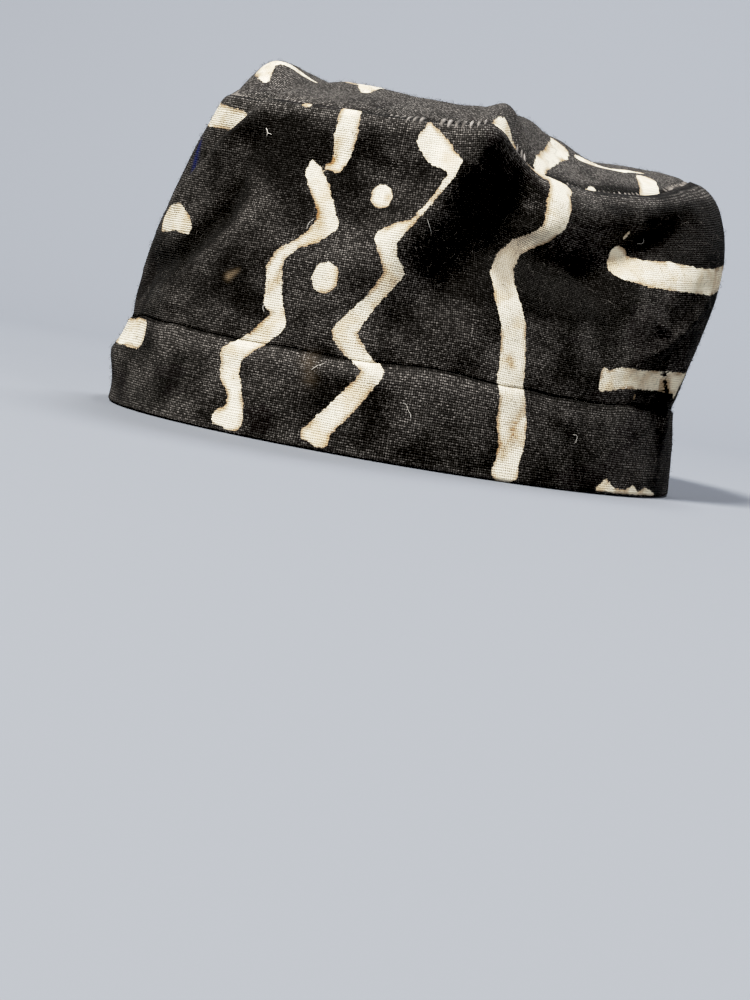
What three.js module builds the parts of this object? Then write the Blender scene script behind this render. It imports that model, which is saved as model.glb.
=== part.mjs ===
import * as THREE from "three";

// A soft brimless cap of heavy patterned cotton: a hem band, a side wall and a crown panel.
// Millimetres, +Z up. The rim lies flat on z = 0, the front faces -Y and the wearer's left is +X.

// Driving sizes
const HEAD_HALF_WIDTH = 80;
const HEAD_HALF_LENGTH = 96.5;
const CLOTH = 2;
const BAND_TALL = 25;
const CLOTH_TALL = 94;
const BAND_TAPER = 3;
const SEAM_GAP = 0.3;
const SEAM_ROLL_TALL = 3;
const SEAM_ROLL_IN = 2;
const CROWN_HIGH = 99;
const SIDE_SHIFT = -0.77;

// How the solids are divided
const FOLDED_FROM = -72;
const FOLDED_TO = 162;
const FOLDED_STEPS = 52;
const PLAIN_STEPS = 44;
const BAND_ROWS = [0, 8, 17, BAND_TALL - SEAM_GAP / 2];
const WALL_ROWS = [BAND_TALL + SEAM_GAP / 2, 31, 37, 43, 49, 55, 61, 67, 73, 79, 84, 88, 91, 93, CLOTH_TALL];
const CROWN_RINGS = [1, 0.95, 0.88, 0.78, 0.64, 0.48, 0.28];

// One row for each station round the cap. angle: degrees from the front towards the wearer's left.
// seamHigh, seamIn: height of the crown seam and how far it lies inside the rim.
// swell, swellAt: how far the wall stands out, and at what share of its height.
// shoulderHigh, midHigh: height of the crown at 0.8 and 0.5 of the way from its middle to the seam.
const STATION = ["angle", "seamHigh", "seamIn", "swell", "swellAt", "shoulderHigh", "midHigh"];
const STATIONS = [
  [-180, 93, 11, 3, 0.5, 97, 99],
  [-140, 94, 14, 3, 0.5, 99, 101],
  [-105, 95, 17, 1, 0.35, 101, 102],
  [-75, 96, 21, 3, 0.3, 103, 103],
  [-52, 94, 21, 3, 0.3, 101, 102],
  [-30, 90, 14, 1, 0.5, 97, 100],
  [-5, 89, 10, 1, 0.5, 95, 99],
  [15, 89, 9, 1, 0.5, 94.5, 98.5],
  [33, 90, 9, 1, 0.5, 95, 97.5],
  [41, 91.5, 10, 1, 0.5, 96.5, 96.5],
  [49, 87, 14, 1, 0.5, 93, 95.5],
  [58, 82.5, 18, 1, 0.55, 88.5, 94.5],
  [68, 81.5, 18, 1, 0.55, 88, 94],
  [84, 84, 13, 4, 0.6, 90, 94],
  [100, 90, 11, 9, 0.6, 94, 95],
  [115, 94, 11, 11, 0.62, 97, 96],
  [140, 94, 10, 6, 0.6, 97, 97],
  [180, 93, 11, 3, 0.5, 97, 99],
];

// One row for each bend of a fold in the wall; rows of one name join up in their order.
// across: mm of cloth round the rim from the front; up: mm of cloth above the rim;
// wide: how far the fold spreads; out: how far it stands out, sunk where negative.
const FOLD = ["name", "across", "up", "wide", "out"];
const FOLDS = [
  ["left_crease", -10, 92, 5, 2.5],
  ["left_crease", -24, 80, 5, 3.0],
  ["left_crease", -43, 64, 5, 2.5],
  ["left_crease", -56, 57, 6, 0.5],
  ["behind_crease", -24, 94, 6, -5.0],
  ["behind_crease", -37, 80, 6, -5.0],
  ["behind_crease", -55, 66, 6, -3.0],
  ["left_valley", -20, 68, 7, -1.5],
  ["left_valley", -20, 57, 7, -2.0],
  ["left_valley", -38, 43, 7, -2.5],
  ["left_valley", -64, 40, 7, -1.5],
  ["small_valley", 9, 34, 5, -0.8],
  ["small_valley", 14, 42, 5, -1.2],
  ["under_seam", 16, 79, 6, -1.2],
  ["under_seam", 38, 76, 6, -1.5],
  ["main_ridge", 62, 94, 6, 1.0],
  ["main_ridge", 52, 82, 6, 3.5],
  ["main_ridge", 39, 62, 7, 4.0],
  ["main_ridge", 26, 46, 9, 1.5],
  ["main_dent", 78, 94, 8, -2.0],
  ["main_dent", 74, 80, 11, -9.0],
  ["main_dent", 67, 66, 12, -9.0],
  ["main_dent", 54, 50, 9, -5.0],
  ["main_dent", 40, 38, 7, -2.0],
  ["dent_foot", 50, 42, 5, -1.5],
  ["dent_foot", 42, 27, 5, -0.7],
  ["right_groove", 68, 70, 11, -8.0],
  ["right_groove", 90, 66, 10, -7.0],
  ["right_groove", 106, 66, 10, -7.0],
  ["right_groove", 122, 74, 8, -5.0],
  ["right_groove", 150, 83, 7, -3.0],
  ["shoulder_roll", 90, 86, 6, 2.0],
  ["shoulder_roll", 112, 86, 6, 2.5],
  ["shoulder_roll", 150, 91, 6, 1.0],
  ["notch_crease", 132, 22, 4, -1.0],
  ["notch_crease", 136, 36, 4, -2.0],
  ["notch_flare", 146, 24, 6, 2.0],
  ["notch_flare", 150, 38, 6, 1.5],
  ["pucker_ridge", 136, 47, 5, 1.2],
  ["pucker_ridge", 122, 36, 6, 1.0],
  ["back_left_fold", -108, 88, 12, -2.5],
  ["back_left_fold", -130, 48, 14, -2.0],
  ["back_fold", -190, 90, 14, -2.5],
  ["back_fold", -172, 56, 14, -2.0],
  ["back_right_fold", 200, 84, 13, -2.5],
  ["back_right_fold", 226, 50, 14, -1.5],
];

// The same for the crown panel, in plan: x, y in mm from the middle of the rim.
const CROWN_FOLD = ["name", "x", "y", "wide", "out"];
const CROWN_FOLDS = [
  ["left_bulge", -32, -56, 12, 4.5],
  ["left_bulge", -46, -20, 16, 3.5],
  ["peak", 57, -62, 9, 3.5],
  ["peak", 46, -36, 12, 2.5],
  ["dent_slope", 66, -38, 10, -2.0],
  ["dent_slope", 60, -20, 12, -1.0],
  ["back_hollow", -12, 48, 20, -2.0],
  ["back_hollow", 26, 60, 20, -2.0],
];
const FOLD_BLEND = 6;

const RIM_HALF_WIDTH = HEAD_HALF_WIDTH + CLOTH;
const RIM_HALF_LENGTH = HEAD_HALF_LENGTH + CLOTH;

// A curve between two heights with given slopes
function hermite(t, t0, t1, y0, y1, slope0, slope1) {
  const span = t1 - t0;
  const q = (t - t0) / span;
  return (
    (2 * q ** 3 - 3 * q ** 2 + 1) * y0 +
    (q ** 3 - 2 * q ** 2 + q) * span * slope0 +
    (3 * q ** 2 - 2 * q ** 3) * y1 +
    (q ** 3 - q ** 2) * span * slope1
  );
}

// A column of the stations at any angle, smooth and without overshoot
function station(column, angle) {
  const c = STATION.indexOf(column);
  const last = STATIONS.length - 1;
  const x = [STATIONS[last - 1][0] - 360, ...STATIONS.map((row) => row[0]), STATIONS[1][0] + 360];
  const y = [STATIONS[last - 1][c], ...STATIONS.map((row) => row[c]), STATIONS[1][c]];
  const rise = (i) => (y[i + 1] - y[i]) / (x[i + 1] - x[i]);
  const slope = (i) => {
    const before = rise(i - 1);
    const after = rise(i);
    return before * after > 0 ? (2 * before * after) / (before + after) : 0;
  };
  let i = 1;
  while (i < x.length - 3 && angle > x[i + 1]) i += 1;
  return hermite(angle, x[i], x[i + 1], y[i], y[i + 1], slope(i), slope(i + 1));
}

// The rim's outer oval, its outward normal, and the length of cloth round it
function oval(angle) {
  const a = THREE.MathUtils.degToRad(angle);
  const normal = new THREE.Vector2(RIM_HALF_LENGTH * Math.sin(a), -RIM_HALF_WIDTH * Math.cos(a)).normalize();
  return { x: RIM_HALF_WIDTH * Math.sin(a), y: -RIM_HALF_LENGTH * Math.cos(a), normal };
}

const ARC_STEPS = 3600;
const arc = [0];
for (let i = 1; i <= ARC_STEPS; i += 1) {
  const from = oval((180 * (i - 1)) / ARC_STEPS);
  const to = oval((180 * i) / ARC_STEPS);
  arc.push(arc[i - 1] + Math.hypot(to.x - from.x, to.y - from.y));
}
const ROUND = 2 * arc[ARC_STEPS];

function acrossOf(angle) {
  const place = (Math.abs(angle) / 180) * ARC_STEPS;
  const i = Math.min(ARC_STEPS - 1, Math.floor(place));
  return Math.sign(angle) * (arc[i] + (arc[i + 1] - arc[i]) * (place - i));
}

function angleOf(across) {
  const wrapped = across - ROUND * Math.round(across / ROUND);
  const length = Math.abs(wrapped);
  let i = 0;
  while (i < ARC_STEPS - 1 && arc[i + 1] < length) i += 1;
  return (Math.sign(wrapped) * 180 * (i + (length - arc[i]) / (arc[i + 1] - arc[i]))) / ARC_STEPS;
}

// How far all the folds of a table stand out at one place; round is set where the cloth closes on itself
function foldsAt(rows, p, q, round) {
  let proud = 0;
  let sunk = 0;
  for (let i = 0; i + 1 < rows.length; i += 1) {
    const [name, p0, q0, wide0, out0] = rows[i];
    const [next, p1, q1, wide1, out1] = rows[i + 1];
    if (name !== next) continue;
    let dp = p - p0;
    if (round) dp -= round * Math.round(dp / round);
    const dq = q - q0;
    const along = (dp * (p1 - p0) + dq * (q1 - q0)) / ((p1 - p0) ** 2 + (q1 - q0) ** 2);
    const share = THREE.MathUtils.clamp(along, 0, 1);
    const wide = wide0 + (wide1 - wide0) * share;
    const away = ((dp - share * (p1 - p0)) ** 2 + (dq - share * (q1 - q0)) ** 2) / wide ** 2;
    const out = (out0 + (out1 - out0) * share) * Math.exp(-away);
    if (out > 0) proud += out ** FOLD_BLEND;
    else sunk += (-out) ** FOLD_BLEND;
  }
  return proud ** (1 / FOLD_BLEND) - sunk ** (1 / FOLD_BLEND);
}

// Rises from 0 to 1 at the peak's share of the height and falls back to 0
function bulge(share, peak) {
  const a = 1.5;
  const b = (a * (1 - peak)) / peak;
  return (share ** a * (1 - share) ** b) / (peak ** a * (1 - peak) ** b);
}

// A point of band or wall. up is mm of cloth above the rim; inner is 0 outside and 1 inside.
function side(angle, up, inner) {
  const rim = oval(angle);
  const share = THREE.MathUtils.clamp((up - BAND_TALL) / (CLOTH_TALL - BAND_TALL), 0, 1);
  const hem = THREE.MathUtils.clamp(up / BAND_TALL, 0, 1);
  const lean = (station("seamIn", angle) - BAND_TAPER) * (0.6 * share + 0.4 * share ** 3);
  const swell = station("swell", angle) * bulge(share, station("swellAt", angle));
  const folds = foldsAt(FOLDS, acrossOf(angle), up, ROUND) * THREE.MathUtils.clamp(up / 15, 0, 1) ** 2;
  const roll = THREE.MathUtils.clamp((up - CLOTH_TALL + SEAM_ROLL_TALL) / SEAM_ROLL_TALL, 0, 1);
  const rolled = inner ? 0 : SEAM_ROLL_IN * (1 - Math.sqrt(1 - 0.98 * roll ** 2));
  const out = folds + swell - lean - BAND_TAPER * hem - rolled - inner * CLOTH;
  const high = up < BAND_TALL ? up : BAND_TALL + (station("seamHigh", angle) - BAND_TALL) * share;
  return [rim.x + rim.normal.x * out, rim.y + rim.normal.y * out, high - inner * 0.9 * CLOTH * roll ** 2];
}

// A point of the crown panel. ring is 1 at the seam and 0 in the middle.
function crown(angle, ring, inner) {
  const [seamX, seamY, seamZ] = side(angle, CLOTH_TALL, 0);
  const reach = Math.hypot(seamX, seamY);
  const inwards = (reach - SEAM_GAP * 1.3) / reach;
  const plan = ring * inwards * (1 - 0.014 * inner * ring);
  const shoulder = station("shoulderHigh", angle);
  const mid = station("midHigh", angle);
  let z;
  if (ring > 0.8) z = hermite(ring, 0.8, 1, shoulder, seamZ, (seamZ - mid) / 0.5, (1.6 * (seamZ - shoulder)) / 0.2);
  else if (ring > 0.5) z = hermite(ring, 0.5, 0.8, mid, shoulder, (shoulder - CROWN_HIGH) / 0.8, (seamZ - mid) / 0.5);
  else z = hermite(ring, 0, 0.5, CROWN_HIGH, mid, 0, (shoulder - CROWN_HIGH) / 0.8);
  z += foldsAt(CROWN_FOLDS, seamX * plan, seamY * plan, 0) * (1 - ring ** 6);
  return [seamX * plan, seamY * plan, z - inner * CLOTH];
}

// Angles of the stations round the cap, closer together where the cloth is folded
const angles = [];
for (let i = 0; i < FOLDED_STEPS; i += 1) {
  angles.push(angleOf(FOLDED_FROM + ((FOLDED_TO - FOLDED_FROM) * i) / FOLDED_STEPS));
}
for (let i = 0; i < PLAIN_STEPS; i += 1) {
  angles.push(angleOf(FOLDED_TO + ((ROUND + FOLDED_FROM - FOLDED_TO) * i) / PLAIN_STEPS));
}

// Joins closed loops of points into a skin; each loop runs anticlockwise seen from above
function skin(loops, triangles, count, closeOnItself) {
  const last = closeOnItself ? loops : loops - 1;
  for (let row = 0; row < last; row += 1) {
    const above = ((row + 1) % loops) * count;
    const below = row * count;
    for (let i = 0; i < count; i += 1) {
      const next = (i + 1) % count;
      triangles.push(below + i, below + next, above + next);
      triangles.push(below + i, above + next, above + i);
    }
  }
}

function solid(name, points, triangles, material) {
  const geometry = new THREE.BufferGeometry();
  geometry.setAttribute("position", new THREE.Float32BufferAttribute(points.flat(), 3));
  geometry.setIndex(triangles);
  geometry.computeVertexNormals();
  const mesh = new THREE.Mesh(geometry, material);
  mesh.name = name;
  return mesh;
}

// Band and wall: up the outside, over the top edge and down the inside
function tube(name, rows, material) {
  const points = [];
  for (const up of rows) for (const angle of angles) points.push(side(angle, up, 0));
  for (const up of [...rows].reverse()) for (const angle of angles) points.push(side(angle, up, 1));
  const triangles = [];
  skin(rows.length * 2, triangles, angles.length, true);
  return solid(name, points, triangles, material);
}

// Crown panel: the underside from its middle out to the edge, then the top back to the middle
function lid(name, rings, material) {
  const points = [];
  for (const ring of [...rings].reverse()) for (const angle of angles) points.push(crown(angle, ring, 1));
  for (const ring of rings) for (const angle of angles) points.push(crown(angle, ring, 0));
  const triangles = [];
  const count = angles.length;
  skin(rings.length * 2, triangles, count, false);
  const under = points.length;
  points.push([0, 0, crown(0, 0, 1)[2]], [0, 0, crown(0, 0, 0)[2]]);
  const top = (rings.length * 2 - 1) * count;
  for (let i = 0; i < count; i += 1) {
    const next = (i + 1) % count;
    triangles.push(under, next, i);
    triangles.push(under + 1, top + i, top + next);
  }
  return solid(name, points, triangles, material);
}

const darkCotton = new THREE.MeshStandardMaterial({ color: 0x2a2624, roughness: 0.95, metalness: 0 });
const darkCottonBand = new THREE.MeshStandardMaterial({ color: 0x2c2826, roughness: 0.95, metalness: 0 });
const darkCottonTop = new THREE.MeshStandardMaterial({ color: 0x302b28, roughness: 0.95, metalness: 0 });

const cap = new THREE.Group();
cap.add(tube("brow_band", BAND_ROWS, darkCottonBand));
cap.add(tube("side_wall", WALL_ROWS, darkCotton));
cap.add(lid("crown_panel", CROWN_RINGS, darkCottonTop));
cap.position.x = SIDE_SHIFT;

export default cap;
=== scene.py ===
"""Looks of a soft brimless cap in hand-painted cotton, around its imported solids.

Sizes are millimetres until a mesh or a light is made, +Z up, the front facing -Y and the wearer's
left +X. A place on the side is told in cloth: across, mm round the rim from the front towards the
wearer's left, and up, mm of cloth above the rim. A place on the crown is told in plan: x and y, mm
from the middle of the rim.
"""

import math

import bpy
import numpy as np
from mathutils import Matrix, Vector


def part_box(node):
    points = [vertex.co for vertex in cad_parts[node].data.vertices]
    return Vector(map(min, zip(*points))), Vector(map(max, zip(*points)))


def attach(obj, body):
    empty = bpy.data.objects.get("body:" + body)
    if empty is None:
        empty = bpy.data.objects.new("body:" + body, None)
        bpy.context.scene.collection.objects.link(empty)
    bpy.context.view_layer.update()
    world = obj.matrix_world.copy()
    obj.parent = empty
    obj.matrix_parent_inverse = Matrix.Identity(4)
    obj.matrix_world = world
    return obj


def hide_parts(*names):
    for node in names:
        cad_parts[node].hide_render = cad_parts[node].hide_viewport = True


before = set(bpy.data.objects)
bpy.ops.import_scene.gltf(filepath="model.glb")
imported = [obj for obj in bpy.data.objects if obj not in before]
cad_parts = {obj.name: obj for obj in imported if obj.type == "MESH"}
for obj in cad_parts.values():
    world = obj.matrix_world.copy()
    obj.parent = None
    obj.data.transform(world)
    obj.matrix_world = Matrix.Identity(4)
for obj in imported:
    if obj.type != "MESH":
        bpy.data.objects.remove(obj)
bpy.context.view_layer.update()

MM = 0.001
SEED = 11

# Driving sizes, with the rim's oval read from the frame
rim_low, rim_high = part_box("brow_band")
RIM_HALF_WIDTH = (rim_high.x - rim_low.x) / 2 / MM
RIM_HALF_LENGTH = (rim_high.y - rim_low.y) / 2 / MM
SIDE_SHIFT = (rim_high.x + rim_low.x) / 2 / MM
CLOTH = 2.0
BAND_TALL = 25.0
CLOTH_TALL = 94.0
BAND_TAPER = 3.0
CROWN_HIGH = 99.0
SEAM_GAP = 0.3
THREAD = 0.63

# Edges and seams: how nearly a rolled edge turns square, how tall or wide each roll or tuck is and
# how far it goes in, the open line over the band, the crown's gap, and how much lower the wall's
# inside ends
ROLL_ROUND = 0.98
SEAM_ROLL_TALL = 3.0
SEAM_ROLL_IN = 2.0
HEM_ROLL_TALL = 1.6
HEM_ROLL = 0.9
TUCK_TALL = 5.0
TUCK_DEEP = 0.6
CROWN_ROLL_WIDE = 4.0
CROWN_ROLL_DEEP = 1.9
HAIRLINE = 0.12
CROWN_GAP = 1.3 * SEAM_GAP
INSIDE_LOWER = 0.9 * CLOTH

# Where across the crown's edge sinks behind the wall, and how far that spreads
GROOVE_AT = 122.0
GROOVE_WIDE = 26.0

# The share of the side's lean that grows evenly with height, and the height at which folds, nothing
# at the flat rim, have grown full
LEAN_EVEN = 0.6
FOLDS_FULL = 15.0

# The crown: the rings whose heights the stations tell, how steep its edge is, and how much smaller
# the underside is
SHOULDER_RING = 0.8
MID_RING = 0.5
EDGE_STEEP = 1.6
UNDERSIDE_IN = 0.014

# Small unevennesses of the cloth: mm to a bump, mm high and the seed of its noise
WAVES = {
    "panel": (13.0, 0.35, 1),
    "puckers": (6.5, 0.30, 2),
    "crinkle": (4.0, 0.10, 3),
    "crown": (15.0, 0.50, 4),
    "crown_crinkle": (5.0, 0.15, 5),
    "seam": (26.0, 0.80, 6),
    "seam_stitches": (8.0, 0.30, 7),
}
PUCKERS_UPRIGHT = 0.35
NOISE_CELLS = 512

# Stitches of the crown's seam: their ends' distances from it, where they are boldest, how far they
# stand up there and are pulled in elsewhere, as shares of their thickness, and how deep the ends go
STITCH_STEP = 2.1
STITCH_THICK = 1.10
STITCH_SLANT = 1.5
STITCH_BELOW = 1.4
STITCH_IN = 1.9
BOLD_AT = 44.0
BOLD_WIDE = 14.0
BOLD_LIFT = 0.95
PLAIN_SUNK = 0.40
ENDS_SUNK = 0.25

# Loose fibres, how far each reaches, the share of the rim's oval that the crown's cover, and lint
FIBRES_SIDE = 6000
FIBRES_CROWN = 3200
FIBRE_THICK = 0.075
FIBRE_LONG = (0.7, 3.0)
FIBRE_STEPS = 4
CROWN_SHARE = 0.86
LINT_STEPS = 12

# How finely the cloth is divided, and the steps by which slopes and the flat cloth are measured
AROUND = 760
WALL_ROWS = 92
BAND_ROWS = 24
HEM_UPS = (1.0, 1.6, 2.4)
CROWN_RINGS = 76
EDGE_CROWDED = 1.15
INNER_ROWS = 22
SLOPE_STEP = 0.4
FLAT_REACH = 110
STEEPEST = 2.5
FAR_IN = 60.0

# A row for each station round the cap: angle in degrees from the front, the crown seam's height and
# how far it lies inside the rim, how far the wall swells and at what share of its height, and the
# crown's height at 0.8 and at 0.5 of the way from its middle to the seam
STATION = ("angle", "seam_high", "seam_in", "swell", "swell_at", "shoulder_high", "mid_high")
STATIONS = (
    (-180, 93, 11, 3, 0.5, 97, 99),
    (-140, 94, 14, 3, 0.5, 99, 101),
    (-105, 95, 17, 1, 0.35, 101, 102),
    (-75, 96, 21, 1.5, 0.3, 103, 102),
    (-52, 94, 21, 1.5, 0.3, 101, 101),
    (-30, 90, 14, 1, 0.5, 97, 100),
    (-5, 88.4, 10, 1, 0.5, 95, 99),
    (15, 88.2, 9, 1, 0.5, 94.5, 98.5),
    (33, 89.4, 9, 1, 0.5, 95, 97.5),
    (41, 91.5, 10, 1, 0.5, 96.5, 96.5),
    (49, 87, 14, 1, 0.5, 93, 95.5),
    (58, 82.5, 18, 1, 0.55, 88.5, 94.5),
    (68, 81.5, 18, 1, 0.55, 88, 94),
    (84, 84, 13, 4, 0.6, 90, 94),
    (100, 90, 11, 9, 0.68, 94, 93.5),
    (115, 94.5, 9.5, 10, 0.71, 95.6, 94.6),
    (140, 93.3, 10, 6, 0.65, 94.6, 95),
    (180, 93, 11, 3, 0.5, 97, 99),
)

# In the tables of folds, strokes and spots each has a row for every bend, and its rows join up

# Folds of the side: across, up, how far the fold spreads (wide) and how far it stands out (out),
# sunk where negative
FOLDS = {
    "left_crease": ((-10, 92, 5, 2.5), (-24, 80, 5, 3), (-43, 64, 5, 2.5), (-56, 57, 6, 0.5)),
    "behind_crease": ((-24, 94, 6, -5), (-37, 80, 6, -5), (-55, 66, 6, -3)),
    "left_valley": ((-15, 69, 5, -2.4), (-18, 59, 5.5, -3.6), (-36, 44, 5.5, -3.8), (-64, 38, 6, -3)),
    "left_swell": ((-14, 50, 9, 1.2), (-34, 33, 8, 1.4)),
    "upper_valley": ((-16, 82, 4, -1.2), (-4, 74, 6, -1.2)),
    "hem_dent": ((-29, 28, 2.2, -0.9), (-26, 27.5, 2.2, -0.9)),
    "band_roll": ((-12, 21.5, 3, 0.9), (40, 21.5, 3, 0.8), (78, 21.5, 3, 0.5)),
    "small_valley": ((9, 34, 5, -0.8), (14, 42, 5, -1.2)),
    "under_seam": ((16, 79, 6, -1.2), (38, 76, 6, -1.5)),
    "band_bow": ((-62, 11, 8, 4), (-110, 11, 8, 4)),
    "main_ridge": ((62, 94, 6, 1), (52, 82, 6, 3.5), (39, 62, 7, 4), (26, 46, 9, 1.5)),
    "main_dent": ((78, 94, 8, -2), (74, 80, 11, -9), (67, 66, 12, -9), (54, 50, 9, -5), (40, 38, 7, -2)),
    "dent_foot": ((50, 42, 5, -1.5), (42, 27, 5, -0.7)),
    "right_groove": (
        (68, 70, 11, -8),
        (90, 66, 10, -7),
        (106, 66, 10, -7),
        (122, 74, 8, -5),
        (150, 83, 7, -3),
    ),
    "shoulder_roll": ((90, 86, 6, 2), (112, 86, 6, 2.5), (150, 91, 6, 1)),
    "notch_crease": ((142.5, 41, 1.6, -1.6), (147, 29, 1.3, -3.2), (149, 20, 2.2, -1.2)),
    "notch_flare": ((153, 24, 6, 2.4), (156, 40, 7, 1.8)),
    "pucker_ridge": ((160, 60, 3.5, 1.2), (146, 50.5, 2.6, 1.7), (135, 43.5, 3, 1.1), (118, 38, 5, 0.5)),
    "pucker_hole": ((133.5, 50.2, 1.3, -1.3), (136, 49.6, 1.2, -0.9)),
    "pucker_lip": ((135, 53, 1.4, 0.7), (140, 50.5, 1.2, 0.9)),
    "back_left_fold": ((-108, 88, 12, -2.5), (-130, 48, 14, -2)),
    "back_fold": ((-190, 90, 14, -2.5), (-172, 56, 14, -2)),
    "back_right_fold": ((200, 84, 13, -2.5), (226, 50, 14, -1.5)),
}

# Folds of the crown: x, y, wide, out
CROWN_FOLDS = {
    "left_bulge": ((-31, -60, 9, 10.6), (-38, -43, 9, 6.2), (-48, -18, 16, 2)),
    "front_roll": ((-8, -56, 12, 1.5), (30, -58, 12, 1.5)),
    "peak": (
        (54, -62, 8, 6.5),
        (43.5, -44.5, 7, 12),
        (35.5, -24, 11, 7.5),
        (37, -8, 9, 3.8),
        (33, 6, 9, 1),
    ),
    "stripe_hollow": ((51, 6, 8, -1.4), (56, 20, 9, -1.6)),
    "peak_tip": ((46, -57, 4.5, 11), (42, -47.5, 5, 12.8)),
    "dent_slope": ((66, -38, 10, -2), (60, -20, 12, -1)),
    "back_hollow": ((-12, 48, 20, -2), (26, 60, 20, -2)),
}

# How sharply the stronger of two folds that overlap wins
FOLD_BLEND = 6

# Undyed strokes of the side: across, up and half the stroke's width (half)
SIDE_MARKS = {
    "zigzag_a_top": ((17, 95, 3), (17.4, 86, 3.5), (17.4, 81, 2.7), (16.5, 77.5, 2), (13.5, 76.5, 0.7)),
    "zigzag_a": (
        (9, 77, 0.8), (10.2, 74.5, 2.4), (13.5, 70, 2.7), (16.3, 65, 2.5), (17.6, 61, 3.1),
        (14.6, 57, 2.3), (10, 53.6, 1.2), (6, 50.2, 1.7), (4.9, 46, 2.4), (5.8, 40, 2.2),
        (6.2, 36.8, 2.8), (8, 34.3, 1.8), (8.2, 31, 3), (3.6, 26, 2.8), (-3.2, 20.4, 3.2),
        (-2.3, 15, 2.9), (0.5, 10.8, 2.1), (1.6, 7, 2.6), (2, 3.4, 3),
    ),
    "foot_a": ((1, 5.5, 2), (-2.6, 3.6, 2), (0.8, 3.4, 1.8), (3.4, 4.2, 1.5)),
    "zigzag_b": (
        (41.2, 92.2, 1.2), (41.8, 88.2, 3.7), (44.5, 85.4, 4.1), (48.2, 82.6, 2.7), (48.8, 79.4, 0.9),
        (44.6, 71.8, 0.5), (40.6, 65.2, 0.6), (37, 62, 2), (34.2, 59.2, 2.8), (36, 54, 2.2),
        (38.2, 50.4, 2.6), (35.6, 45, 2), (33, 41, 1.9), (30.6, 37, 2.4), (27.6, 31.6, 3.2),
        (30.4, 28.4, 2.8), (35.2, 24.2, 2), (37.4, 22.3, 2.6), (32.3, 14, 2.8), (25.8, 5.2, 3),
        (26.6, 3.2, 2.4),
    ),
    "foot_b": ((23.4, 3.8, 2), (27.2, 3.4, 1.9)),
    "line_c": (
        (92.3, 92.5, 3.6), (90.4, 85, 4), (90.2, 79.4, 3.7), (88.2, 75, 2.8), (83.6, 71, 2.2),
        (78.3, 67, 2.2), (73.4, 61, 2.5), (71.2, 55, 3.6), (72.2, 49.5, 4), (75, 43, 4.2), (76, 34, 4.2),
        (76.3, 27, 4.3), (77.2, 23, 4.1), (78.5, 15, 4.8), (79.3, 9.6, 3.9), (78.4, 5.5, 3.6),
        (78, 2.6, 4.1),
    ),
    "line_c_top": ((89.8, 92, 1.9), (95, 91.7, 2.1)),
    "dot_upper": ((31, 71.4, 2.8), (31, 70.4, 2.9)),
    "dot_lower": ((20.1, 46.6, 3.5), (19.8, 45.2, 3.7)),
    "bar_right": (
        (121.5, 73.2, 3.6), (121, 70, 3.8), (130, 68.8, 4.2), (140, 68.7, 4.4), (150, 67.3, 3.9),
        (163, 66.6, 4.1), (178, 67.5, 3.6),
    ),
    "bar_low_right": (
        (113.4, 32.5, 3.2), (120, 33.8, 3.6), (130, 34.2, 3.2), (147, 34.5, 3.4), (166, 34, 3.9),
    ),
    "bar_low_end": ((111.7, 30.4, 1.6), (111.9, 34.7, 1.7)),
    "bar_low_tip": ((155, 31.6, 2.4), (164, 29.6, 1.4)),
    "rim_fleck": (
        (113.5, 1.2, 0.9), (117, 2.6, 1.7), (121.5, 1, 1), (128, 1, 0.8), (133, 1.8, 1.5),
        (136, 0.6, 0.8), (142, 1.6, 1.3), (150, 0.6, 0.9),
    ),
    "speck_low": ((128.4, 28.2, 0.6), (129, 27.4, 0.3)),
    "speck_high": ((122, 81.4, 0.5), (122, 79.8, 0.55)),
    "bar_left": ((-32.5, 86.8, 3.2), (-46, 87.2, 3.6), (-76, 87.5, 3.4)),
    "blob_left": ((-36.2, 54.4, 3), (-41, 56, 3.9), (-49, 55, 3.7), (-54, 53.8, 3)),
    "blob_low_left": ((-47.8, 20.2, 3.9), (-72, 20.6, 3.6)),
    "seam_fleck": ((1.2, 93.6, 0.7), (3.2, 93.2, 0.6)),
    "dent_bar_foot": ((61.5, 94.2, 0.9), (65, 94.4, 1.1)),
    "fork_foot": ((80.5, 94, 0.9), (87.5, 93.6, 1.2)),
}

# Painted shade: dark lines painted over a stroke where a crease swallows it: across, up, half
CREASE_SHADE_LINES = {
    "notch_line": ((144.8, 38.4, 0.45), (147.4, 33.6, 0.5), (150.6, 29, 0.8)),
}

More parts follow.
